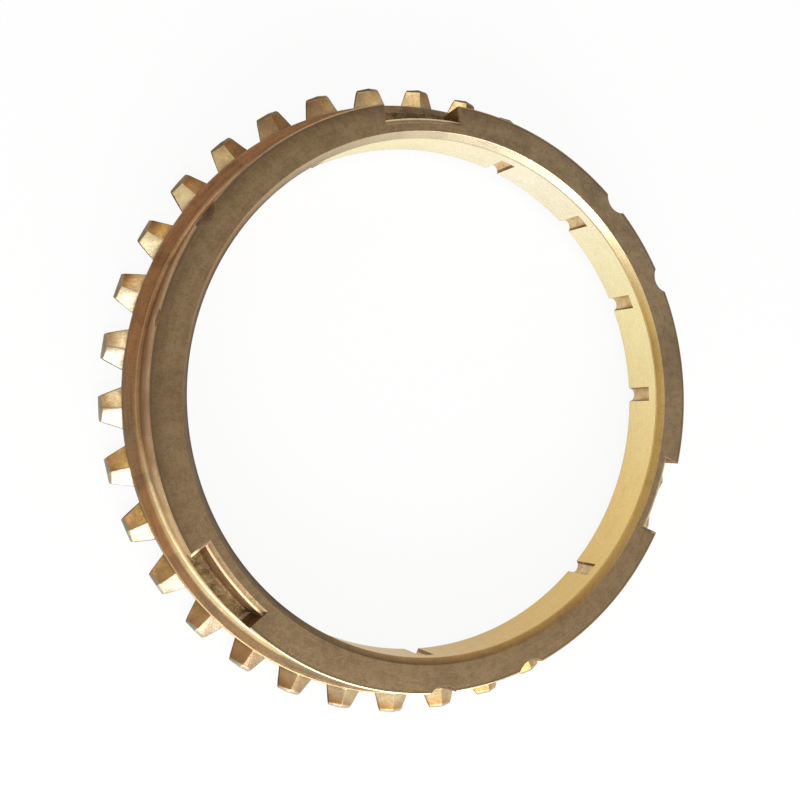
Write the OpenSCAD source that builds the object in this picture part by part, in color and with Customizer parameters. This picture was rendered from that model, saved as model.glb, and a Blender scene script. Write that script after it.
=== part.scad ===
// Brass synchronizer ring: a cone bored rim with three key slots, and a flange of pointed blocking teeth.
// Lies on its gear side face, hub side up, with one key slot towards +Y. Sizes in millimetres.

/* [Rim] */
// Height of the whole ring, from the gear side face to the hub face
ring_height = 9.6; // [8.8:0.1:12]
// Radius of the cone bore at its small end
bore_small_r = 33.75; // [31:0.25:38]
// Half angle of the cone bore, in degrees
cone_angle = 6.5; // [5:0.5:9]
// Radial width of the bevel between the bore and the hub face
mouth_bevel = 0.6; // [0.3:0.05:0.8]
// Height of that bevel
mouth_bevel_height = 1; // [0.6:0.1:1.5]
// Radial thickness of the rim from the bore's small end to the outer wall at the hub face
rim_thick = 4.35; // [4.1:0.05:5.5]
// Radial growth of the rim's outer wall from the hub face to its foot
rim_draft = 0.35; // [0.2:0.05:0.8]
// Break of the outer edge of the hub face
rim_break = 0.2; // [0.1:0.05:0.4]

/* [Tooth flange] */
// Thickness of the flange
flange_thick = 2.2; // [1.8:0.1:2.8]
// Width of the flange's hub side face, outside the foot of the rim
flange_width = 1.95; // [1.5:0.05:3]
// Leg of the fillet at the foot of the rim
foot_fillet = 0.35; // [0.2:0.05:0.5]
// Break of the flange's outer edge
flange_break = 0.2; // [0.1:0.05:0.3]
// Depth of the recess that the gear side face has round the bore
relief_depth = 1.5; // [0.8:0.1:1.7]
// Width of the recess floor, outside the bore's large end
relief_width = 2.4; // [1.6:0.1:2.6]
// Break of the recess edge
relief_break = 0.3; // [0.1:0.05:0.5]

/* [Blocking teeth] */
// Number of teeth, a multiple of three so that each key slot lies on a tooth gap
tooth_count = 36; // [24:3:39]
// Height of a tooth outside the flange
tooth_height = 2.65; // [1.8:0.05:3]
// Height of the teeth's back above the gear side face
tooth_back = 0.6; // [0.2:0.1:0.8]
// Drop of a tooth's ridge below the break of the flange
ridge_drop = 0.05; // [0.05:0.05:0.3]
// Width of a tooth at the flange
tooth_root_w = 5; // [4:0.1:5.2]
// Width of a tooth at its tip
tooth_tip_w = 3.2; // [2.4:0.1:3.4]
// Slope of the two roof faces of a tooth, in degrees
roof_slope = 26; // [20:1:29]
// Length of the corner cut at the two ends of a tooth's tip, which is half as wide as it is long
tooth_corner = 0.3; // [0.1:0.05:0.5]
// Radial width of the bevel on a tooth's tip, at the ridge
tip_bevel = 0.5; // [0.35:0.05:0.7]
// Radial width of that bevel at the two ends of the tip
tip_bevel_end = 0.3; // [0.1:0.05:0.35]
// Slope of that bevel along the ridge, in degrees
tip_slope = 35; // [25:1:40]

/* [Key slots] */
// Width of a key slot between its parallel sides
slot_width = 10.7; // [7:0.1:14]
// Depth of a key slot below the hub face
slot_depth = 4.4; // [3:0.1:5.5]
// Thickness of the lip left between the bore's small end and a key slot, at the hub face
slot_lip = 1.6; // [1.4:0.05:1.8]
// Radial width of the bevel on the lip's slot side
slot_bevel = 0.8; // [0.4:0.05:0.9]
// Height of that bevel
slot_bevel_height = 0.6; // [0.3:0.05:1]
// Lean of the slot's inner wall, measured outwards from the bevel to the floor
slot_lean = 0.7; // [0.2:0.05:0.8]

/* [Edge notches] */
// Angle of an edge notch from the middle between two key slots, in degrees
notch_angle = 10; // [8:1:25]
// Width of an edge notch across the edge of the rim
notch_width = 3.9; // [3:0.1:5]
// Radial depth of an edge notch at the hub face
notch_depth = 1.05; // [0.7:0.05:1.2]
// Edge notch that is cut shallow, counted from the slot at 90 degrees
shallow_notch = 1; // [0:1:5]
// Radial depth of the shallow notch
shallow_depth = 0.35; // [0.25:0.05:0.6]
// Slope of a notch's floor against the hub face, in degrees
notch_slope = 66; // [50:1:72]

/* [Oil grooves] */
// Groove spaces between two key slots
groove_spaces = 5; // [3:1:6]
// Width of an oil groove
groove_width = 2.1; // [1.2:0.1:3]
// Depth of an oil groove
groove_depth = 0.95; // [0.5:0.05:1.2]
// Length of an oil groove from the bore's large end
groove_length = 5.2; // [3.5:0.1:5.5]
// Groove place that is left plain, counted from the slot at 210 degrees
plain_place = 3; // [0:1:4]

/* [Hidden] */
$fn = 180;
sectors = 3;
sector_angle = 360 / sectors;
first_slot_angle = 90;
plain_sector_angle = 210;
reach = 1;
bore_cone_height = ring_height - mouth_bevel_height - relief_depth;
bore_large_r = bore_small_r + bore_cone_height * tan(cone_angle);
mouth_r = bore_small_r + mouth_bevel;
rim_top_r = bore_small_r + rim_thick;
rim_foot_r = rim_top_r + rim_draft;
flange_r = rim_foot_r + flange_width;
relief_r = bore_large_r + relief_width;
tip_r = flange_r + tooth_height;
ridge_z = flange_thick - flange_break - ridge_drop;
tooth_pitch = 360 / tooth_count;
tooth_bury = 0.8;
// The bevel's two faces fall away from the ridge less than the roof faces do, so that they narrow to the ends
roof_fall = tan(roof_slope);
bevel_fall = roof_fall - (tip_bevel - tip_bevel_end) * tan(tip_slope) / (tooth_tip_w / 2);
ridged_length = 4 * (tooth_bury + tooth_height);
ridged_depth = 2 * tooth_root_w;
slot_inner_r = bore_small_r + slot_lip;
slot_floor_z = ring_height - slot_depth;
// An edge notch is a round cut whose lowest line slopes across the edge of the rim
notch_bite = notch_depth * sin(notch_slope);
notch_cut_r = (pow(notch_width / 2, 2) + pow(notch_bite, 2)) / (2 * notch_bite);
notch_cut_above = 2;
notch_cut_below = 5;
groove_step = sector_angle / groove_spaces;
groove_round_r = groove_width / 2;

// Half section of rim and flange, radius across and height up
module ring_section() {
    polygon([
        [relief_r + relief_break, 0],
        [flange_r, 0],
        [flange_r, flange_thick - flange_break],
        [flange_r - flange_break, flange_thick],
        [rim_foot_r + foot_fillet, flange_thick],
        [rim_foot_r, flange_thick + foot_fillet],
        [rim_top_r, ring_height - rim_break],
        [rim_top_r - rim_break, ring_height],
        [mouth_r, ring_height],
        [bore_small_r, ring_height - mouth_bevel_height],
        [bore_large_r, relief_depth],
        [relief_r, relief_depth],
        [relief_r, relief_break]
    ]);
}

// Long block along X, with two faces that fall away from a ridge through the origin
module ridged_block(fall) {
    rotate([90, 0, 90])
        linear_extrude(height = ridged_length, center = true)
            polygon([
                [-tooth_root_w, -ridged_depth],
                [tooth_root_w, -ridged_depth],
                [tooth_root_w, -tooth_root_w * fall],
                [0, 0],
                [-tooth_root_w, -tooth_root_w * fall]
            ]);
}

// One blocking tooth pointing along +X: a tapered block under a roof whose ridge meets the flange below its break
module tooth() {
    tip_end_w = tooth_tip_w - (tooth_corner + reach);
    intersection() {
        translate([0, 0, tooth_back])
            linear_extrude(height = flange_thick)
                polygon([
                    [flange_r - tooth_bury, -tooth_root_w / 2],
                    [flange_r, -tooth_root_w / 2],
                    [tip_r - tooth_corner, -tooth_tip_w / 2],
                    [tip_r + reach, -tip_end_w / 2],
                    [tip_r + reach, tip_end_w / 2],
                    [tip_r - tooth_corner, tooth_tip_w / 2],
                    [flange_r, tooth_root_w / 2],
                    [flange_r - tooth_bury, tooth_root_w / 2]
                ]);
        translate([flange_r, 0, ridge_z])
            ridged_block(roof_fall);
        translate([tip_r - tip_bevel, 0, ridge_z])
            rotate([0, tip_slope, 0])
                ridged_block(bevel_fall * cos(tip_slope));
    }
}

// The teeth all round, turned to the tip radius
module teeth() {
    intersection() {
        cylinder(h = flange_thick, r = tip_r);
        for (index = [0 : tooth_count - 1])
            rotate(first_slot_angle + (index + 0.5) * tooth_pitch)
                tooth();
    }
}

// One key slot towards +X: parallel sides, open to the outside, inner wall bevelled and leaning outwards to the floor
module key_slot() {
    intersection() {
        translate([slot_inner_r - reach, -slot_width / 2, slot_floor_z])
            cube([rim_foot_r - slot_inner_r + 2 * reach, slot_width, slot_depth + reach]);
        rotate_extrude()
            polygon([
                [slot_inner_r + slot_bevel + slot_lean, slot_floor_z],
                [rim_foot_r + reach, slot_floor_z],
                [rim_foot_r + reach, ring_height + reach],
                [slot_inner_r, ring_height + reach],
                [slot_inner_r, ring_height],
                [slot_inner_r + slot_bevel, ring_height - slot_bevel_height]
            ]);
    }
}

// One edge notch towards +X: a round cut of the given depth across the outer edge of the hub face
module edge_notch(depth) {
    translate([rim_top_r - depth, 0, ring_height])
        rotate([0, 90 + notch_slope, 0])
            translate([-notch_cut_r, 0, -notch_cut_above])
                cylinder(h = notch_cut_above + notch_cut_below, r = notch_cut_r, $fn = 48);
}

// One oil groove towards +X: round bottomed, along the cone, open at the bore's large end
module oil_groove() {
    translate([bore_large_r, 0, relief_depth])
        rotate([0, -cone_angle, 0])
            translate([0, 0, -reach / 2])
                linear_extrude(height = groove_length + reach / 2)
                    union() {
                        translate([groove_depth - groove_round_r, 0])
                            circle(r = groove_round_r, $fn = 32);
                        translate([-groove_depth, -groove_width / 2])
                            square([2 * groove_depth - groove_round_r, groove_width]);
                    }
}

module ring() {
    color([0.71, 0.54, 0.26])
        difference() {
            union() {
                rotate_extrude()
                    ring_section();
                teeth();
            }
            for (sector = [0 : sectors - 1])
                rotate(first_slot_angle + sector * sector_angle) {
                    key_slot();
                    for (side = [0, 1])
                        rotate(sector_angle / 2 + (2 * side - 1) * notch_angle)
                            edge_notch(2 * sector + side == shallow_notch ? shallow_depth : notch_depth);
                }
            for (sector = [0 : sectors - 1], place = [1 : groove_spaces - 1]) {
                start = first_slot_angle + sector * sector_angle;
                if (start != plain_sector_angle || place != plain_place)
                    rotate(start + place * groove_step)
                        oil_groove();
            }
        }
}

ring();
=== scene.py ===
import itertools
import math
import random

import bmesh
import bpy
from mathutils import Matrix, Vector


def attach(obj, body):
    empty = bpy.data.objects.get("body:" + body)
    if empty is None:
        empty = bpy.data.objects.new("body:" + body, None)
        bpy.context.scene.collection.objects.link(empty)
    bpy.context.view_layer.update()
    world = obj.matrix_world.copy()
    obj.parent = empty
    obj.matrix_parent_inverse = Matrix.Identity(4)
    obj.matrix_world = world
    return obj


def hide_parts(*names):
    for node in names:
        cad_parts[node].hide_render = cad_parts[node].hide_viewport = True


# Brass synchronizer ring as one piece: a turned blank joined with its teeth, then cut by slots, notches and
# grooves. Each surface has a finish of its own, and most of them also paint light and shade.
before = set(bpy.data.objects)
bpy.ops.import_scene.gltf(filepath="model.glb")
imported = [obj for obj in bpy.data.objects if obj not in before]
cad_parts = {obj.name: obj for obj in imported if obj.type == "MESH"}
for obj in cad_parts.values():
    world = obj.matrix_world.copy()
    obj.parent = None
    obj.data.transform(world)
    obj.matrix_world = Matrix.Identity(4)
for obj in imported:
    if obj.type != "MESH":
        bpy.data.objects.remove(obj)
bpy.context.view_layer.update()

random.seed(36)
MM = 0.001

# Rim and flange in millimetres, as in the CAD source
RING_H = 9.6
BORE_SMALL_R = 33.75
CONE = math.radians(6.5)
MOUTH_BEVEL = 0.6
MOUTH_BEVEL_H = 1.0
RIM_THICK = 4.35
RIM_DRAFT = 0.35
RIM_BREAK = 0.2
FLANGE_T = 2.2
FLANGE_W = 1.95
FLANGE_BREAK = 0.2
FOOT_FILLET = 0.35
RELIEF_DEPTH = 1.5
RELIEF_W = 2.4
RELIEF_BREAK = 0.3

# Teeth, as in the CAD source
TEETH = 36
TOOTH_H = 2.65
TOOTH_BACK = 0.6
TOOTH_ROOT_W = 5.0
TOOTH_TIP_W = 3.2
TOOTH_CORNER = 0.3
CORNER_RATIO = 2.0
TOOTH_BURY = 0.8
RIDGE_DROP = 0.05
ROOF = math.radians(26)
TIP_BEVEL = 0.5
TIP_BEVEL_END = 0.3
TIP_SLOPE = math.radians(35)

# Key slots, edge notches and oil grooves, as in the CAD source. A single notch or groove is named by the
# angle of the slot before it and its side or place.
SECTOR = 120
SLOT_ANGLES = (90, 210, 330)
SLOT_W = 10.7
SLOT_DEPTH = 4.4
SLOT_LIP = 1.6
SLOT_BEVEL = 0.8
SLOT_BEVEL_H = 0.6
SLOT_LEAN = 0.7
SLOT_REACH = 1.0
NOTCH_ANGLE = 10
NOTCH_W = 3.9
NOTCH_DEPTH = 1.05
NOTCH_SLOPE = math.radians(66)
NOTCH_ABOVE = 2.0
NOTCH_BELOW = 5.0
SHALLOW_NOTCH = (90, 1)
SHALLOW_DEPTH = 0.35
GROOVE_SPACES = 5
GROOVE_W = 2.1
GROOVE_DEPTH = 0.95
GROOVE_LENGTH = 5.2
GROOVE_OVERRUN = 0.5
PLAIN_GROOVE = (210, 3)

# Sizes that follow from these
BORE_TOP = RING_H - MOUTH_BEVEL_H
BORE_LARGE_R = BORE_SMALL_R + (BORE_TOP - RELIEF_DEPTH) * math.tan(CONE)
RELIEF_R = BORE_LARGE_R + RELIEF_W
RIM_TOP_R = BORE_SMALL_R + RIM_THICK
RIM_FOOT_R = RIM_TOP_R + RIM_DRAFT
FLANGE_IN_R = RIM_FOOT_R + FOOT_FILLET
FLANGE_R = RIM_FOOT_R + FLANGE_W
TIP_R = FLANGE_R + TOOTH_H
RIDGE_Z = FLANGE_T - FLANGE_BREAK - RIDGE_DROP
SLOT_FLOOR = RING_H - SLOT_DEPTH
LIP_FOOT = RING_H - SLOT_BEVEL_H

# Rounding, wear and small differences from tooth to tooth, which only the scene has, in millimetres apart
# from the spread of the roof slope, which is in degrees
SLOT_FOOT_R = 0.4
SLOT_WEAR = 0.4
THREAD_PITCH = 0.45
TOOTH_ROUND = 0.09
TIP_CLEAR = 0.03
RIDGE_SHIFT = 0.08
ROOF_SPREAD = 1.0
TIP_LOSS = 0.04

# Steps of the mesh, what it takes as flat or equal, and the normals that tell a tooth's faces apart
RING_STEPS = 720
BRIM_STEPS = 3
FILLET_STEPS = 4
EDGE_STEPS = 5
TOOTH_STEPS = 2
SLOT_STEPS = 12
FOOT_STEPS = 3
WEAR_STEPS = 4
NOTCH_SIDES = 48
GROOVE_STEPS = 12
STEEP_STEPS = 2
SHARP_ANGLE = math.radians(28)
FLAT_ANGLE = math.radians(1)
SAME_PLACE = 2e-3
NEARLY_NONE = 1e-4
TIP_LEAN = 0.3
ROOF_LEVEL = 0.75

# Tones of the brass, from bare metal to old dirt. The rows below also use them as painted highlights and
# painted shade.
IVORY = (0.98, 0.92, 0.72)
LEMON = (0.95, 0.84, 0.46)
PALE = (0.95, 0.8, 0.5)
HONEY = (0.98, 0.72, 0.32)
STRAW = (0.9, 0.65, 0.25)
CHALK = (0.72, 0.65, 0.48)
GOLD = (0.7, 0.45, 0.12)
AMBER = (0.62, 0.36, 0.1)
TAN = (0.6, 0.42, 0.2)
COPPER = (0.55, 0.32, 0.14)
BRONZE = (0.4, 0.24, 0.1)
# Rust where a finish has rust, and painted shade where the rows below use it
RUST_AND_SHADE = (0.34, 0.16, 0.06)
EMBER = (0.26, 0.11, 0.02)
DUN = (0.26, 0.185, 0.105)
UMBER = (0.22, 0.147, 0.074)
EARTH = (0.16, 0.103, 0.05)
# Painted shade, only on the mouth bevel
PAINTED_SHADE_BROWN = (0.08, 0.04, 0.02)
ASH = (0.42, 0.36, 0.26)
STAIN = (0.5, 0.47, 0.44)
# Painted shade and dirt in corners
CORNER_SHADE_AND_DIRT = (0.3, 0.2, 0.13)
DARK_LINE = (0.09, 0.06, 0.035)

# Factors on a tone where its grain is dark, plain or bright
SHADE = (0.62, 0.54, 0.44)
SOFT_SHADE = (0.9, 0.86, 0.79)
PLAIN = (1.0, 1.0, 1.0)
GLINT = (1.3, 1.28, 1.22)

# Rows of tones at a few angles round the ring, in degrees from +X towards +Y. They are painted light and
# shade: tones that brighten or darken each surface round the ring as light from the window lamp at -Y falls
# on it.
FACE_IN = (
    (-180, UMBER), (-60, UMBER), (10, DUN), (60, DUN), (110, UMBER), (180, UMBER))
FACE_OUT = (
    (-180, EARTH), (-135, UMBER), (-60, UMBER), (10, DUN), (50, DUN), (85, EARTH), (180, EARTH))
BORE_ROW = (
    (-180, GOLD), (-90, GOLD), (-35, STRAW), (15, LEMON), (60, IVORY), (100, LEMON), (180, GOLD))
MOUTH_LOW = (
    (-180, PAINTED_SHADE_BROWN), (-140, PAINTED_SHADE_BROWN), (-110, BRONZE), (-20, GOLD), (15, GOLD), (45, CHALK), (90, CHALK),
    (140, PAINTED_SHADE_BROWN), (180, PAINTED_SHADE_BROWN))
MOUTH_HIGH = (
    (-180, EARTH), (-115, EARTH), (-60, BRONZE), (10, STRAW), (45, CHALK), (90, CHALK), (140, BRONZE),
    (180, EARTH))
EDGE_ROW = (
    (-180, BRONZE), (-170, TAN), (-150, BRONZE), (-130, PALE), (-100, PALE), (-80, BRONZE), (115, BRONZE),
    (130, UMBER), (150, BRONZE), (180, BRONZE))
WALL_LOW = (
    (-180, RUST_AND_SHADE), (-165, TAN), (-150, TAN), (-80, BRONZE), (115, UMBER), (145, RUST_AND_SHADE), (180, UMBER))
WALL_HIGH = (
    (-180, BRONZE), (-165, TAN), (-140, TAN), (-120, PALE), (-95, PALE), (-60, BRONZE), (115, UMBER),
    (145, BRONZE), (180, RUST_AND_SHADE))
FILLET_ROW = (
    (-180, BRONZE), (-168, PALE), (-125, PALE), (-80, TAN), (0, BRONZE), (100, UMBER), (140, COPPER),
    (160, RUST_AND_SHADE), (180, BRONZE))
FLANGE_IN = (
    (-180, BRONZE), (-165, TAN), (-145, PALE), (-120, TAN), (-80, BRONZE), (80, UMBER), (130, RUST_AND_SHADE),
    (160, RUST_AND_SHADE), (180, BRONZE))
FLANGE_OUT = (
    (-180, UMBER), (-165, RUST_AND_SHADE), (-145, UMBER), (-80, DUN), (80, UMBER), (110, RUST_AND_SHADE), (165, RUST_AND_SHADE),
    (180, UMBER))
BRIM_ROW = (
    (-180, UMBER), (-145, TAN), (-90, BRONZE), (90, UMBER), (130, RUST_AND_SHADE), (180, UMBER))
CW_ROOT = (
    (-180, GOLD), (-160, AMBER), (-130, COPPER), (-110, PALE), (-80, TAN), (80, RUST_AND_SHADE), (95, HONEY),
    (115, EMBER), (145, AMBER), (170, PALE), (180, GOLD))
CW_END = (
    (-180, EMBER), (-160, COPPER), (-130, RUST_AND_SHADE), (-100, AMBER), (80, EMBER), (95, AMBER), (115, EMBER),
    (155, EMBER), (170, TAN), (180, EMBER))
CCW_ROOT = (
    (-180, ASH), (-145, ASH), (-125, TAN), (-105, PALE), (-80, TAN), (85, HONEY), (113, RUST_AND_SHADE), (125, HONEY),
    (150, PALE), (165, ASH), (180, ASH))
CCW_END = (
    (-180, ASH), (-150, DUN), (-120, BRONZE), (-100, AMBER), (85, HONEY), (100, RUST_AND_SHADE), (113, EMBER),
    (132, HONEY), (150, PALE), (165, ASH), (180, ASH))
TIP_ROW = (
    (-180, ASH), (-105, ASH), (0, BRONZE), (90, EARTH), (120, UMBER), (180, ASH))
SLOT_EDGE_IN = (
    (-180, UMBER), (180, UMBER))
SLOT_EDGE_OUT = (
    (-180, PALE), (-120, PALE), (-60, TAN), (60, UMBER), (120, UMBER), (180, PALE))

# Finishes, in the order of the ring's material slots. A finish has three tones from dark to light, or one or
# two rows with factors for dark and bright grain. The rows are painted light and shade, and the darkening of
# corners is painted shade with dirt. Two rows blend across an axis between two places in millimetres. A line
# has its axis, place, half width, strength and tone.
ROOF_ACROSS = ("radius", FLANGE_R + 0.5, FLANGE_R + 2.0)
FINISHES_AND_PAINTED_LIGHT = {
    "face": dict(
        rows=(FACE_IN, FACE_OUT), across=("radius", RIM_TOP_R - 2.1, RIM_TOP_R - 0.7), metal=0.4,
        rough=(0.42, 0.65), streak=0.25, stain=0.35, wear=0.3, bump=0.35,
        lines=(("radius", RIM_TOP_R - RIM_BREAK - 0.1, 0.25, 0.5, DARK_LINE),)),
    "wall": dict(
        rows=(WALL_LOW, WALL_HIGH), across=("height", FLANGE_T + 1.4, RING_H - 1.2), metal=0.6,
        rough=(0.4, 0.6), streak=0.6, stain=0.5, wear=0.2, corner_shade_and_dirt=0.5, coat=0.2),
    "edge": dict(
        rows=(EDGE_ROW,), metal=0.7,
        rough=(0.35, 0.55), streak=0.4, stain=0.5, wear=0.2, coat=0.4),
    "fillet": dict(
        rows=(FILLET_ROW,), metal=0.7,
        rough=(0.35, 0.55), streak=0.6, stain=0.5, corner_shade_and_dirt=0.2, coat=0.4),
    "flange": dict(
        rows=(FLANGE_IN, FLANGE_OUT), across=("radius", FLANGE_IN_R + 0.15, FLANGE_IN_R + 0.5), metal=0.5,
        rough=(0.4, 0.6), streak=0.65, stain=0.6, rust=0.2, wear=0.3, corner_shade_and_dirt=0.5, coat=0.2,
        # The light line where the flange meets the foot fillet is a painted highlight
        lines=(("radius", FLANGE_IN_R + 0.08, 0.13, 0.6, TAN),)),
    "brim": dict(
        rows=(BRIM_ROW,), grain=(SHADE, PLAIN), metal=0.7,
        rough=(0.35, 0.55), coat=0.3),
    # The two roof facets of each tooth have rows of their own: painted light and shade on each side of the
    # ridge
    "roof_cw": dict(
        rows=(CW_ROOT, CW_END), across=ROOF_ACROSS, metal=0.85,
        rough=(0.28, 0.46), streak=0.1, stain=0.5, rust=0.3, wear=0.25, corner_shade_and_dirt=0.6, bump=0.3, bevel=0.22,
        coat=0.4),
    "roof_ccw": dict(
        rows=(CCW_ROOT, CCW_END), across=ROOF_ACROSS, metal=0.85,
        rough=(0.28, 0.46), streak=0.1, stain=0.4, rust=0.15, wear=0.25, corner_shade_and_dirt=0.6, bump=0.3, bevel=0.22,
        coat=0.9),
    "tip": dict(
        rows=(TIP_ROW,), grain=(SHADE, PLAIN), metal=0.85,
        rough=(0.3, 0.5), streak=0.1, stain=0.5, bump=0.3, coat=0.1),
    "flank": dict(
        tones=((0.05, 0.026, 0.012), (0.12, 0.065, 0.03), (0.22, 0.13, 0.06)), metal=0.6,
        rough=(0.4, 0.6), stain=0.5, rust=0.3, wear=0.1, corner_shade_and_dirt=0.7),
    "bore": dict(
        rows=(BORE_ROW,), grain=(SOFT_SHADE, PLAIN), metal=1.0,
        rough=(0.24, 0.34), streak=0.5, stain=0.08, corner_shade_and_dirt=0.2, bump=0.05, thread=1.0,
        lines=(("height", BORE_TOP - 0.14, 0.18, 0.75, BRONZE),)),
    "mouth": dict(
        rows=(MOUTH_LOW, MOUTH_HIGH), across=("height", BORE_TOP + 0.1, RING_H - 0.2), grain=(SHADE, PLAIN),
        metal=0.9, rough=(0.26, 0.4), streak=0.5, bump=0.12),
    "slot": dict(
        tones=((0.1, 0.065, 0.025), (0.21, 0.14, 0.058), (0.37, 0.265, 0.125)), metal=0.6,
        rough=(0.45, 0.7), streak=0.1, stain=0.9, rust=0.3, rust_tone=(0.26, 0.13, 0.06), wear=0.2,
        worn=PALE, corner_shade_and_dirt=0.6, bump=0.7),
    "slot_foot": dict(
        tones=((0.1, 0.05, 0.02), (0.18, 0.1, 0.042), (0.32, 0.2, 0.1)), metal=0.6,
        rough=(0.4, 0.6), streak=0.2, stain=0.4, wear=0.1, worn=PALE, corner_shade_and_dirt=0.5, bump=0.4),
    "slot_corner": dict(
        tones=((0.26, 0.15, 0.1), (0.44, 0.27, 0.18), (0.6, 0.4, 0.28)), metal=0.5,
        rough=(0.4, 0.6), streak=0.2, bump=0.3),
    "slot_wall": dict(
        tones=((0.08, 0.035, 0.01), (0.2, 0.1, 0.03), (0.34, 0.19, 0.07)), metal=0.8,
        rough=(0.45, 0.7), stain=0.4, rust=0.5, rust_tone=(0.2, 0.075, 0.035), wear=0.3, worn=PALE, corner_shade_and_dirt=0.6,
        bump=0.5),
    "slot_edge": dict(
        rows=(SLOT_EDGE_IN, SLOT_EDGE_OUT), across=("radius", RIM_TOP_R - 1.3, RIM_TOP_R - 0.6), metal=0.6,
        rough=(0.35, 0.55), streak=0.2, coat=0.4),
    "lip": dict(
        tones=((0.2, 0.13, 0.06), (0.3, 0.2, 0.095), (0.42, 0.29, 0.14)), metal=0.7,
        rough=(0.4, 0.6), bevel=0.12, coat=0.2,
        lines=(("height", LIP_FOOT + 0.06, 0.2, 1.0, (0.85, 0.62, 0.37)),
               ("height", LIP_FOOT + 0.27, 0.1, 0.5, (0.2, 0.11, 0.05)),
               ("height", RING_H - 0.05, 0.08, 0.35, (0.45, 0.34, 0.2)))),
    "notch": dict(
        tones=((0.05, 0.02, 0.006), (0.12, 0.052, 0.016), (0.24, 0.125, 0.045)), metal=0.9,
        rough=(0.5, 0.7), streak=0.2, stain=0.4, rust=0.4, wear=0.55, corner_shade_and_dirt=0.6, bevel=0.2),
    "groove": dict(
        tones=((0.5, 0.33, 0.15), (0.74, 0.54, 0.28), (0.9, 0.7, 0.4)), metal=0.9,
        rough=(0.35, 0.55), streak=0.2, corner_shade_and_dirt=0.2),
    # The steep sides of the grooves are darker than their floor: painted shade
    "groove_side": dict(
        tones=((0.16, 0.09, 0.04), (0.3, 0.19, 0.09), (0.45, 0.3, 0.14)), metal=0.9,
        rough=(0.4, 0.6), streak=0.2, corner_shade_and_dirt=0.2),
    "under": dict(
        tones=((0.11, 0.07, 0.035), UMBER, (0.34, 0.22, 0.115)), metal=0.5,
        rough=(0.4, 0.6), streak=0.6, stain=0.5, wear=0.5, corner_shade_and_dirt=0.6),
}
FINISH_INDEX = {name: index for index, name in enumerate(FINISHES_AND_PAINTED_LIGHT)}

# Noises of the brass: scale per metre, detail, roughness and distortion
PATCHES = (750.0, 7.0, 0.7, 0.3)
GRAIN = (4200.0, 3.0, 0.6, 0.0)
BROAD = (125.0, 3.0, 0.6, 0.8)
STREAKS = (1.0, 3.0, 0.6, 0.0)
STREAKS_ROUND = 9.0
STREAKS_ACROSS = 3400.0
GRAIN_SHARE = 0.55
NOISE_MIDDLE = 0.5

# Spans of a noise, a normal or a corner over which a mark comes in
TONE_STOPS = (0.3, 0.5, 0.7)
BRIGHT_GRAIN = (0.45, 0.65)
DARK_GRAIN = (0.55, 0.35)
GRAIN_STRENGTH = 0.5
RUST_SPAN = (0.52, 0.4)
STAIN_SPAN = (0.52, 0.66)
GLOSS_SPAN = (0.35, 0.65)
EDGE_SPAN = (0.985, 0.8)
CORNER_SPAN = (0.85, 0.4)
LINE_CORE = 0.4

# How far patches weaken a line, a worn edge or the painted shade and dirt in corners: the span of the noise
# and the weakest share
LINE_BREAKS = ((0.3, 0.5), 0.55)
EDGE_BREAKS = ((0.3, 0.6), 0.45)
CORNER_SHADE_AND_DIRT_BREAKS = ((0.3, 0.6), 0.6)

# Shading of the brass, with lengths in millimetres
RAY_SAMPLES = 6
CORNER_REACH = 1.3
BUMP_DEPTH = 0.12
SPECULAR = 0.3
COAT_ROUGH = 0.3
COAT_IOR = 1.6

# Floor, world and camera in metres and degrees
FLOOR_HALF = 3.0
FLOOR_GAP = 0.05 * MM
PAPER_NOISE = (9.0, 2.0, 0.55, 0.0)
PAPER_TONES = ((0.3, (0.86, 0.86, 0.86)), (0.7, (0.88, 0.88, 0.88)))
PAPER_GLOW = 0.92
# Glow of the paper that only reflections see, fading from front to back: a painted reflection
MIRROR_SPAN = (0.03, 0.12)
MIRROR_GLOW = 0.65
WORLD_COLOR = (1.0, 0.99, 0.97, 1.0)
WORLD_STRENGTH = 0.55
SENSOR_W = 36.0
LENS = 34.42
CLIP_START = 0.005
CAMERA_PLACE = (-0.045, 0.003, 0.0983)
CAMERA_TURN = (1.3, -22.73, -7.32)


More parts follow.
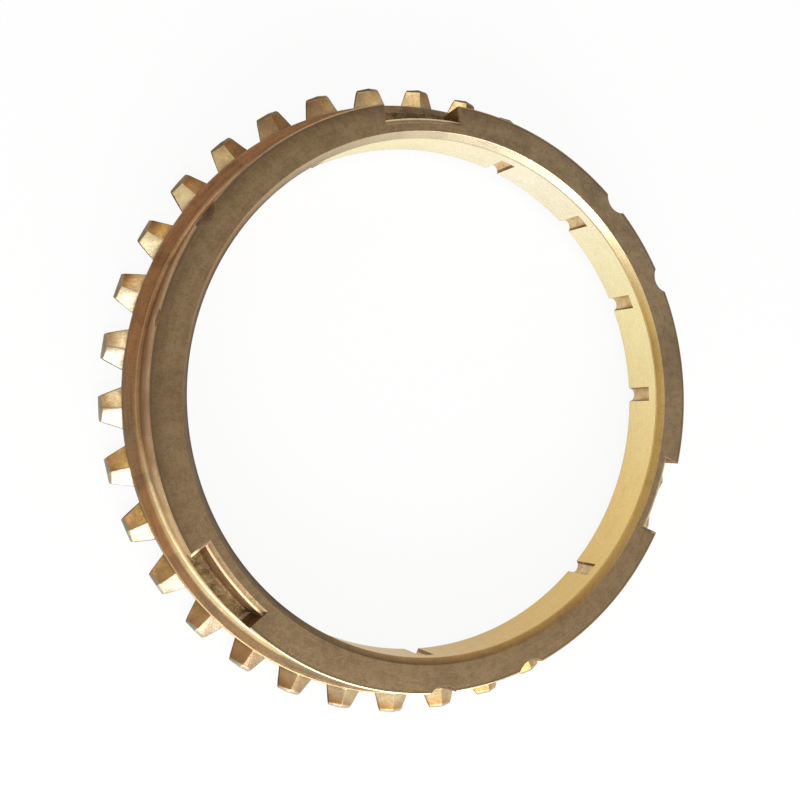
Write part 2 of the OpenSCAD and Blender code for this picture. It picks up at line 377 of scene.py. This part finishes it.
class Graph:
    """A material and helpers that add nodes to it. A value is a number, a tuple or another node's socket."""

    # Places of the colour sockets on a Mix node
    COLORS_IN = (6, 7)
    COLOR_OUT = 2

    def __init__(self, name):
        self.material = bpy.data.materials.new(name)
        self.material.use_nodes = True
        self.tree = self.material.node_tree
        self.tree.nodes.clear()

    def node(self, kind, **values):
        made = self.tree.nodes.new(kind)
        for key, value in values.items():
            setattr(made, key, value)
        return made

    def feed(self, socket, value):
        if isinstance(value, bpy.types.NodeSocket):
            self.tree.links.new(value, socket)
        else:
            socket.default_value = value

    def math(self, operation, first, second=0.0):
        made = self.node("ShaderNodeMath", operation=operation)
        self.feed(made.inputs[0], first)
        self.feed(made.inputs[1], second)
        return made.outputs["Value"]

    def vector(self, operation, first, second=(0.0, 0.0, 0.0), output="Vector"):
        made = self.node("ShaderNodeVectorMath", operation=operation)
        self.feed(made.inputs[0], first)
        self.feed(made.inputs[1], second)
        return made.outputs[output]

    def split(self, vector):
        made = self.node("ShaderNodeSeparateXYZ")
        self.feed(made.inputs["Vector"], vector)
        return made.outputs

    def join(self, *values):
        made = self.node("ShaderNodeCombineXYZ")
        for socket, value in zip(made.inputs, values):
            self.feed(socket, value)
        return made.outputs["Vector"]

    def noise(self, vector, settings):
        made = self.node("ShaderNodeTexNoise")
        self.feed(made.inputs["Vector"], vector)
        for key, number in zip(("Scale", "Detail", "Roughness", "Distortion"), settings):
            self.feed(made.inputs[key], number)
        return made.outputs["Fac"]

    def ramp(self, value, stops):
        made = self.node("ShaderNodeValToRGB")
        elements = made.color_ramp.elements
        while len(elements) < len(stops):
            elements.new(0.5)
        for element, (place, color) in zip(elements, stops):
            element.position = place
            element.color = (*color, 1.0)
        self.feed(made.inputs["Fac"], value)
        return made.outputs["Color"]

    def spread(self, value, span, results):
        """Value brought from a span to a range of results, and held at its ends."""
        made = self.node("ShaderNodeMapRange", clamp=True)
        self.feed(made.inputs["Value"], value)
        for key, number in zip(("From Min", "From Max", "To Min", "To Max"), (*span, *results)):
            self.feed(made.inputs[key], number)
        return made.outputs["Result"]

    def mix(self, factor, first, second, blend="MIX"):
        made = self.node("ShaderNodeMix", data_type="RGBA", blend_type=blend)
        self.feed(made.inputs["Factor"], factor)
        for place, color in zip(self.COLORS_IN, (first, second)):
            self.feed(made.inputs[place], (*color, 1.0) if isinstance(color, tuple) else color)
        return made.outputs[self.COLOR_OUT]

    def surface(self, shader):
        output = self.node("ShaderNodeOutputMaterial")
        self.feed(output.inputs["Surface"], shader)


class Brass(Graph):
    """Brass whose marks follow noises and places in the ring's own coordinates."""

    def __init__(self, name, streak):
        super().__init__(name)
        place = self.node("ShaderNodeTexCoord").outputs["Object"]
        level = self.vector("MULTIPLY", place, (1.0, 1.0, 0.0))
        outward = self.vector("NORMALIZE", level)
        radius = self.vector("LENGTH", level, output="Value")
        height = self.split(place)["Z"]
        self.axes = {"radius": radius, "height": height}
        self.bearing = self.split(self.vector("MULTIPLY", outward, (STREAKS_ROUND, STREAKS_ROUND, 0.0)))

        # Patches and broad stains, and a tone of patches, long turned streaks and fine grain
        self.patches = self.noise(place, PATCHES)
        self.broad = self.noise(place, BROAD)
        depth = self.math("MULTIPLY", self.math("ADD", radius, height), STREAKS_ACROSS)
        streaks = self.noise(self.join(self.bearing["X"], self.bearing["Y"], depth), STREAKS)
        grain = self.math("SUBTRACT", self.noise(place, GRAIN), NOISE_MIDDLE)
        patchy = self.math("MULTIPLY", self.patches, 1.0 - streak)
        streaky = self.math("MULTIPLY", streaks, streak)
        tone = self.math("ADD", patchy, streaky)
        self.tone = self.math("ADD", tone, self.math("MULTIPLY", grain, GRAIN_SHARE))

    def turn(self):
        return self.math("ARCTAN2", self.bearing["Y"], self.bearing["X"])

    def broken(self, strength, breaks):
        span, weakest = breaks
        return self.math("MULTIPLY", strength, self.spread(self.patches, span, (weakest, 1.0)))

    def mottled(self, tones):
        return self.ramp(self.tone, list(zip(TONE_STOPS, tones)))

    def painted_light_by_angle(self, rows, across, grain):
        """Painted light and shade: tones round the ring, two rows blended, with dark and bright grain."""
        circle = self.spread(self.turn(), (-math.pi, math.pi), (0.0, 1.0))
        ramps = []
        for row in rows:
            ramps.append(self.ramp(circle, [((angle + 180.0) / 360.0, tone) for angle, tone in row]))
        color = ramps[0]
        if across:
            axis, start, end = across
            share = self.spread(self.axes[axis], (start * MM, end * MM), (0.0, 1.0))
            color = self.mix(share, *ramps)
        dark, bright = grain
        bright_share = self.spread(self.tone, BRIGHT_GRAIN, (0.0, GRAIN_STRENGTH))
        dark_share = self.spread(self.tone, DARK_GRAIN, (0.0, GRAIN_STRENGTH))
        color = self.mix(bright_share, color, bright, "MULTIPLY")
        return self.mix(dark_share, color, dark, "MULTIPLY")

    def lined(self, color, lines):
        """Colour with thin lines that run round the ring."""
        for axis, center, reach, strength, tone in lines:
            away = self.math("ABSOLUTE", self.math("SUBTRACT", self.axes[axis], center * MM))
            drawn = self.spread(away, (LINE_CORE * reach * MM, reach * MM), (strength, 0.0))
            color = self.mix(self.broken(drawn, LINE_BREAKS), color, tone)
        return color

    def worn_edges(self, color, rounded, worn, wear):
        """Colour with bare metal where the rounded normal leaves the flat one."""
        flat = self.node("ShaderNodeNewGeometry").outputs["Normal"]
        facing = self.vector("DOT_PRODUCT", rounded, flat, "Value")
        edge = self.spread(facing, EDGE_SPAN, (0.0, wear))
        return self.mix(self.broken(edge, EDGE_BREAKS), color, worn)

    def shade_and_dirt_in_corners(self, color, corner_shade_and_dirt):
        # Painted shade with dirt: darker where ambient occlusion finds a corner or crevice
        corner = self.node("ShaderNodeAmbientOcclusion", samples=RAY_SAMPLES, only_local=True)
        self.feed(corner.inputs["Distance"], CORNER_REACH * MM)
        shade = self.spread(corner.outputs["AO"], CORNER_SPAN, (0.0, corner_shade_and_dirt))
        return self.mix(self.broken(shade, CORNER_SHADE_AND_DIRT_BREAKS), color, CORNER_SHADE_AND_DIRT, "MULTIPLY")

    def threaded(self, thread):
        """Tone with the ridges of a fine thread, for the bump."""
        climb = self.math("MULTIPLY", self.axes["height"], 2 * math.pi / (THREAD_PITCH * MM))
        ridges = self.math("SINE", self.math("ADD", climb, self.turn()))
        return self.math("ADD", self.tone, self.math("MULTIPLY", ridges, thread))


def brass(name, metal, rough, tones=(), rows=(), across=None, grain=(SHADE, GLINT), streak=0.3, stain=0.3,
          rust=0.0, rust_tone=RUST_AND_SHADE, lines=(), wear=0.0, worn=TAN, corner_shade_and_dirt=0.0, bump=0.25, bevel=0.16, coat=0.0,
          thread=0.0):
    """Material of one finish. Roughness goes from its least to its most, and the bevel is in millimetres."""
    graph = Brass(name, streak)
    # Rows paint light and shade round the ring.
    color = graph.painted_light_by_angle(rows, across, grain) if rows else graph.mottled(tones)
    if rust:
        color = graph.mix(graph.spread(graph.broad, RUST_SPAN, (0.0, rust)), color, rust_tone)
    color = graph.mix(graph.spread(graph.broad, STAIN_SPAN, (0.0, stain)), color, STAIN, "MULTIPLY")
    color = graph.lined(color, lines)

    bevelled = graph.node("ShaderNodeBevel", samples=RAY_SAMPLES)
    graph.feed(bevelled.inputs["Radius"], bevel * MM)
    rounded = bevelled.outputs["Normal"]
    if wear:
        color = graph.worn_edges(color, rounded, worn, wear)
    # Painted shade and dirt in corners
    if corner_shade_and_dirt:
        color = graph.shade_and_dirt_in_corners(color, corner_shade_and_dirt)

    relief = graph.node("ShaderNodeBump")
    graph.feed(relief.inputs["Strength"], bump)
    graph.feed(relief.inputs["Distance"], BUMP_DEPTH * MM)
    graph.feed(relief.inputs["Height"], graph.threaded(thread) if thread else graph.tone)
    graph.feed(relief.inputs["Normal"], rounded)

    smooth, coarse = rough
    shader = graph.node("ShaderNodeBsdfPrincipled")
    graph.feed(shader.inputs["Base Color"], color)
    graph.feed(shader.inputs["Metallic"], metal)
    graph.feed(shader.inputs["Roughness"], graph.spread(graph.tone, GLOSS_SPAN, (coarse, smooth)))
    graph.feed(shader.inputs["Specular IOR Level"], SPECULAR)
    graph.feed(shader.inputs["Coat Weight"], coat)
    graph.feed(shader.inputs["Coat Roughness"], COAT_ROUGH)
    graph.feed(shader.inputs["Coat IOR"], COAT_IOR)
    graph.feed(shader.inputs["Normal"], relief.outputs["Normal"])
    graph.feed(shader.inputs["Coat Normal"], relief.outputs["Normal"])
    graph.surface(shader.outputs["BSDF"])
    return graph.material


def mesh_object(name, bm, materials):
    bmesh.ops.recalc_face_normals(bm, faces=bm.faces)
    mesh = bpy.data.meshes.new(name)
    bm.to_mesh(mesh)
    bm.free()
    for material in materials:
        mesh.materials.append(material)
    made = bpy.data.objects.new(name, mesh)
    bpy.context.scene.collection.objects.link(made)
    return made


def spin(angle):
    return Matrix.Rotation(math.radians(angle), 4, "Z")


def arc(center, radius, start, end, steps):
    points = []
    for step in range(steps + 1):
        turn = math.radians(start + (end - start) * step / steps)
        points.append((center[0] + radius * math.cos(turn), center[1] + radius * math.sin(turn)))
    return points


def rounded_corner(points, finish, next_finish):
    """Points of a rounded corner, each with the finish of the side that follows it."""
    return [(point, finish) for point in points[:-1]] + [(points[-1], next_finish)]


def section():
    """Corners of the half section, each with the finish of the side that follows it."""
    lean = math.degrees(math.atan2(RIM_FOOT_R - RIM_TOP_R, RING_H - FLANGE_T))
    brim_center = (FLANGE_R - FLANGE_BREAK, FLANGE_T - FLANGE_BREAK)
    fillet_center = (FLANGE_IN_R, FLANGE_T + FOOT_FILLET)
    edge_center = (RIM_TOP_R - RIM_BREAK, RING_H - RIM_BREAK)
    brim = arc(brim_center, FLANGE_BREAK, 0, 90, BRIM_STEPS)
    fillet = arc(fillet_center, FOOT_FILLET, 270, 180, FILLET_STEPS)
    edge = arc(edge_center, RIM_BREAK, lean, 90, EDGE_STEPS)
    return [
        ((RELIEF_R + RELIEF_BREAK, 0.0), "under"),
        ((FLANGE_R, 0.0), "flank"),
        *rounded_corner(brim, "brim", "flange"),
        *rounded_corner(fillet, "fillet", "wall"),
        *rounded_corner(edge, "edge", "face"),
        ((BORE_SMALL_R + MOUTH_BEVEL, RING_H), "mouth"),
        ((BORE_SMALL_R, BORE_TOP), "bore"),
        ((BORE_LARGE_R, RELIEF_DEPTH), "under"),
        ((RELIEF_R, RELIEF_DEPTH), "under"),
        ((RELIEF_R, RELIEF_BREAK), "under"),
    ]


def turned_blank(materials):
    corners = section()
    bm = bmesh.new()
    rows = []
    for step in range(RING_STEPS):
        turn = 2 * math.pi * step / RING_STEPS
        rows.append([bm.verts.new((r * math.cos(turn), r * math.sin(turn), z)) for (r, z), _ in corners])
    for step in range(RING_STEPS):
        here = rows[step]
        there = rows[(step + 1) % RING_STEPS]
        for index, (_, finish) in enumerate(corners):
            after = (index + 1) % len(corners)
            face = bm.faces.new((here[index], there[index], there[after], here[after]))
            face.material_index = FINISH_INDEX[finish]
    return mesh_object("ring_brass", bm, materials)


def convex_solid(planes):
    """Solid inside all planes, each a point and an outward normal."""
    bm = bmesh.new()
    for three in itertools.combinations(planes, 3):
        normals = Matrix([normal for _, normal in three])
        if abs(normals.determinant()) < NEARLY_NONE:
            continue
        corner = normals.inverted() @ Vector([point.dot(normal) for point, normal in three])
        if all((corner - point).dot(normal) < NEARLY_NONE for point, normal in planes):
            bm.verts.new(corner)
    bmesh.ops.remove_doubles(bm, verts=bm.verts, dist=SAME_PLACE)
    hull = bmesh.ops.convex_hull(bm, input=bm.verts)
    spare = hull["geom_interior"] + hull["geom_unused"]
    loose = [item for item in spare if isinstance(item, bmesh.types.BMVert)]
    bmesh.ops.delete(bm, geom=loose, context="VERTS")
    bmesh.ops.dissolve_limit(bm, angle_limit=FLAT_ANGLE, verts=bm.verts, edges=bm.edges)
    return bm


def tooth_finish(normal):
    if normal.x > TIP_LEAN and normal.z > TIP_LEAN:
        return "tip"
    if normal.z > ROOF_LEVEL:
        return "roof_ccw" if normal.y > 0 else "roof_cw"
    return "flank"


def tooth_shape(shift, slope, tip_loss):
    """One tooth along +X inside its flanks, roof, tip bevel and corner cuts, with rounded edges."""
    low = FLANGE_R - TOOTH_BURY
    high = TIP_R - TIP_CLEAR - tip_loss
    roof_fall = math.tan(slope)
    tip_fall = math.tan(TIP_SLOPE)
    bevel_fall = roof_fall - (TIP_BEVEL - TIP_BEVEL_END) * tip_fall / (TOOTH_TIP_W / 2)
    taper = (TOOTH_ROOT_W - TOOTH_TIP_W) / 2
    run = TOOTH_H - TOOTH_CORNER
    planes = [
        ((low, 0.0, 0.0), (-1.0, 0.0, 0.0)),
        ((high, 0.0, 0.0), (1.0, 0.0, 0.0)),
        ((0.0, 0.0, TOOTH_BACK), (0.0, 0.0, -1.0)),
    ]
    for side in (-1, 1):
        planes += [
            ((FLANGE_R, side * TOOTH_ROOT_W / 2, 0.0), (taper, side * run, 0.0)),
            ((high - TOOTH_CORNER, side * TOOTH_TIP_W / 2, 0.0), (1.0, side * CORNER_RATIO, 0.0)),
            ((low, shift, RIDGE_Z), (0.0, side * roof_fall, 1.0)),
            ((high - TIP_BEVEL, shift, RIDGE_Z), (tip_fall, side * bevel_fall, 1.0)),
        ]
    bm = convex_solid([(Vector(point), Vector(normal).normalized()) for point, normal in planes])
    bmesh.ops.bevel(bm, geom=bm.edges[:], offset=TOOTH_ROUND, segments=TOOTH_STEPS, profile=0.5,
                    affect="EDGES", clamp_overlap=True)
    bmesh.ops.recalc_face_normals(bm, faces=bm.faces)
    for face in bm.faces:
        face.material_index = FINISH_INDEX[tooth_finish(face.normal)]
    return bm


def tooth_ring(materials):
    whole = bmesh.new()
    for index in range(TEETH):
        shift = random.uniform(-RIDGE_SHIFT, RIDGE_SHIFT)
        slope = ROOF + math.radians(random.uniform(-ROOF_SPREAD, ROOF_SPREAD))
        tip_loss = random.uniform(0.0, TIP_LOSS)
        shape = tooth_shape(shift, slope, tip_loss)
        angle = SLOT_ANGLES[0] + (index + 0.5) * 360 / TEETH
        bmesh.ops.transform(shape, matrix=spin(angle), verts=shape.verts)
        part = bpy.data.meshes.new("tooth")
        shape.to_mesh(part)
        shape.free()
        whole.from_mesh(part)
        bpy.data.meshes.remove(part)
    return mesh_object("teeth", whole, materials)


def stack(bm, levels, finish_of, matrix):
    """Closed solid through outlines of equal length, one above another. Its two ends are row -1."""
    rows = [[bm.verts.new(matrix @ Vector(point)) for point in level] for level in levels]
    count = len(levels[0])
    for row, (here, there) in enumerate(zip(rows, rows[1:])):
        for index in range(count):
            after = (index + 1) % count
            face = bm.faces.new((here[index], here[after], there[after], there[index]))
            face.material_index = FINISH_INDEX[finish_of(row, index)]
    for end in (rows[0], rows[-1]):
        bm.faces.new(end).material_index = FINISH_INDEX[finish_of(-1, 0)]


def slot_outline(z, inset, flare):
    """Outline of a slot at one height: its curved inner wall, its plain end and its worn end."""
    fallen = max(0.0, RING_H - z)
    inner = BORE_SMALL_R + SLOT_LIP + inset + SLOT_BEVEL * min(1.0, fallen / SLOT_BEVEL_H)
    inner += SLOT_LEAN * max(0.0, fallen - SLOT_BEVEL_H) / (SLOT_DEPTH - SLOT_BEVEL_H)
    outer = RIM_FOOT_R + SLOT_REACH
    plain = SLOT_W / 2 - inset
    worn = plain + flare
    start = -math.asin(worn / inner)
    end = math.asin(plain / inner)
    points = []
    for step in range(SLOT_STEPS + 1):
        turn = start + (end - start) * step / SLOT_STEPS
        points.append((inner * math.cos(turn), inner * math.sin(turn), z))
    return points + [(outer, plain, z), (outer, -worn, z)]


def slot_levels():
    """Outlines of a slot: rounded foot, leaning wall, and one end with a worn, rounded upper edge."""
    levels = []
    for step in range(FOOT_STEPS + 1):
        turn = math.radians(90 * step / FOOT_STEPS)
        rise = SLOT_FOOT_R * (1 - math.cos(turn))
        inset = SLOT_FOOT_R * (1 - math.sin(turn))
        levels.append(slot_outline(SLOT_FLOOR + rise, inset, 0.0))
    levels.append(slot_outline(LIP_FOOT, 0.0, 0.0))
    for step in range(WEAR_STEPS + 1):
        turn = math.radians(90 * step / WEAR_STEPS)
        drop = SLOT_WEAR * (1 - math.sin(turn))
        flare = SLOT_WEAR * (1 - math.cos(turn))
        levels.append(slot_outline(RING_H - drop, 0.0, flare))
    return levels + [slot_outline(RING_H + SLOT_REACH, 0.0, SLOT_WEAR)]


def slot_finish(row, index):
    wall_row = FOOT_STEPS
    plain_end = SLOT_STEPS
    worn_end = SLOT_STEPS + 2
    if row < 0:
        return "slot"
    if row < wall_row:
        return "slot_corner" if index == plain_end else "slot_foot"
    if row == wall_row:
        return "slot_wall"
    if index < SLOT_STEPS:
        return "lip"
    return "slot_edge" if row > wall_row + 1 and index == worn_end else "slot_wall"


def notch_finish(row, index):
    return "notch"


def groove_finish(row, index):
    lower_side = 1 <= index <= STEEP_STEPS
    upper_side = GROOVE_STEPS - STEEP_STEPS < index <= GROOVE_STEPS
    return "groove_side" if row == 0 and (lower_side or upper_side) else "groove"


def add_notch(bm, angle, depth):
    """Round cutter across the outer edge of the hub face."""
    bite = NOTCH_DEPTH * math.sin(NOTCH_SLOPE)
    round_r = ((NOTCH_W / 2) ** 2 + bite ** 2) / (2 * bite)
    outline = arc((0, 0), round_r, 0, 360 - 360 / NOTCH_SIDES, NOTCH_SIDES - 1)
    levels = [[(x, y, z) for x, y in outline] for z in (-NOTCH_ABOVE, NOTCH_BELOW)]
    lie = spin(angle) @ Matrix.Translation((RIM_TOP_R - depth, 0, RING_H))
    lie = lie @ Matrix.Rotation(math.radians(90) + NOTCH_SLOPE, 4, "Y")
    lie = lie @ Matrix.Translation((-round_r, 0, 0))
    stack(bm, levels, notch_finish, lie)


def add_groove(bm, angle):
    """Round bottomed cutter along the cone, from below the bore's large end."""
    round_r = GROOVE_W / 2
    bottom = arc((GROOVE_DEPTH - round_r, 0), round_r, -90, 90, GROOVE_STEPS)
    outline = [(-GROOVE_DEPTH, -round_r), *bottom, (-GROOVE_DEPTH, round_r)]
    levels = [[(x, y, z) for x, y in outline] for z in (-GROOVE_OVERRUN, GROOVE_LENGTH)]
    lie = spin(angle) @ Matrix.Translation((BORE_LARGE_R, 0, RELIEF_DEPTH))
    lie = lie @ Matrix.Rotation(-CONE, 4, "Y")
    stack(bm, levels, groove_finish, lie)


def cutters(materials):
    bm = bmesh.new()
    for slot_angle in SLOT_ANGLES:
        stack(bm, slot_levels(), slot_finish, spin(slot_angle))
        for side in (-1, 1):
            depth = SHALLOW_DEPTH if (slot_angle, side) == SHALLOW_NOTCH else NOTCH_DEPTH
            add_notch(bm, slot_angle + SECTOR / 2 + side * NOTCH_ANGLE, depth)
        for place in range(1, GROOVE_SPACES):
            if (slot_angle, place) != PLAIN_GROOVE:
                add_groove(bm, slot_angle + place * SECTOR / GROOVE_SPACES)
    return mesh_object("cutters", bm, materials)


def combine(target, tool, operation):
    """Join a tool with the target or cut it from it, and delete the tool."""
    step = target.modifiers.new(operation, "BOOLEAN")
    step.operation = operation
    step.solver = "EXACT"
    step.material_mode = "INDEX"
    step.use_self = operation == "UNION"
    step.object = tool
    graph = bpy.context.evaluated_depsgraph_get()
    result = bpy.data.meshes.new_from_object(target.evaluated_get(graph), depsgraph=graph)
    target.modifiers.clear()
    old = target.data
    target.data = result
    bpy.data.meshes.remove(old)
    bpy.data.objects.remove(tool)


def paper():
    """White paper that looks evenly bright, and that glows for reflections only, fading from front to back:
    a painted reflection that the brass mirrors brighter in front than behind.
    """
    graph = Graph("floor_white")
    place = graph.node("ShaderNodeTexCoord").outputs["Object"]
    matt = graph.node("ShaderNodeBsdfDiffuse")
    graph.feed(matt.inputs["Color"], graph.ramp(graph.noise(place, PAPER_NOISE), PAPER_TONES))
    glow = graph.node("ShaderNodeEmission")
    graph.feed(glow.inputs["Strength"], 1.0)
    ray = graph.node("ShaderNodeLightPath").outputs
    seen = graph.math("MULTIPLY", ray["Is Camera Ray"], PAPER_GLOW)
    front = graph.spread(graph.split(place)["Y"], MIRROR_SPAN, (MIRROR_GLOW, 0.0))
    painted_reflection = graph.math("MULTIPLY", ray["Is Glossy Ray"], front)
    both = graph.node("ShaderNodeMixShader")
    graph.feed(both.inputs["Fac"], graph.math("ADD", seen, painted_reflection))
    graph.feed(both.inputs[1], matt.outputs["BSDF"])
    graph.feed(both.inputs[2], glow.outputs["Emission"])
    graph.surface(both.outputs["Shader"])
    return graph.material


def floor():
    bm = bmesh.new()
    bmesh.ops.create_grid(bm, x_segments=1, y_segments=1, size=FLOOR_HALF)
    made = mesh_object("floor", bm, [paper()])
    made.location.z = -FLOOR_GAP


def area_light(name, place, aim, size, power, color):
    lamp = bpy.data.lights.new(name, "AREA")
    lamp.shape = "RECTANGLE"
    lamp.size, lamp.size_y = size
    lamp.energy = power
    lamp.color = color
    made = bpy.data.objects.new(name, lamp)
    made.location = place
    made.rotation_euler = (Vector(aim) - Vector(place)).to_track_quat("-Z", "Y").to_euler()
    bpy.context.scene.collection.objects.link(made)


def studio_world():
    world = bpy.data.worlds.new("studio")
    world.use_nodes = True
    background = world.node_tree.nodes["Background"]
    background.inputs["Color"].default_value = WORLD_COLOR
    background.inputs["Strength"].default_value = WORLD_STRENGTH
    bpy.context.scene.world = world


def photo_camera():
    camera = bpy.data.objects.new("camera", bpy.data.cameras.new("camera"))
    camera.data.sensor_width = SENSOR_W
    camera.data.lens = LENS
    camera.data.clip_start = CLIP_START
    camera.location = CAMERA_PLACE
    camera.rotation_euler = tuple(math.radians(angle) for angle in CAMERA_TURN)
    bpy.context.scene.collection.objects.link(camera)
    bpy.context.scene.camera = camera


# The ring
materials = [brass("brass_" + name, **finish) for name, finish in FINISHES_AND_PAINTED_LIGHT.items()]
ring = turned_blank(materials)
combine(ring, tooth_ring(materials), "UNION")
combine(ring, cutters(materials), "DIFFERENCE")
ring.data.transform(Matrix.Scale(MM, 4))
ring.data.shade_smooth()
ring.data.set_sharp_from_angle(angle=SHARP_ANGLE)
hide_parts("ring")
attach(ring, "root")

# The stage
floor()
area_light("window", place=(-0.06, -0.36, 0.19), aim=(-0.03, 0, 0.03), size=(0.46, 0.26), power=2.4,
           color=(1.0, 0.985, 0.96))
area_light("wall", place=(-0.05, 0.36, 0.26), aim=(-0.03, 0, 0.0), size=(0.55, 0.2), power=0.4,
           color=(1.0, 0.97, 0.92))
studio_world()
photo_camera()
bpy.context.scene.view_settings.view_transform = "Standard"
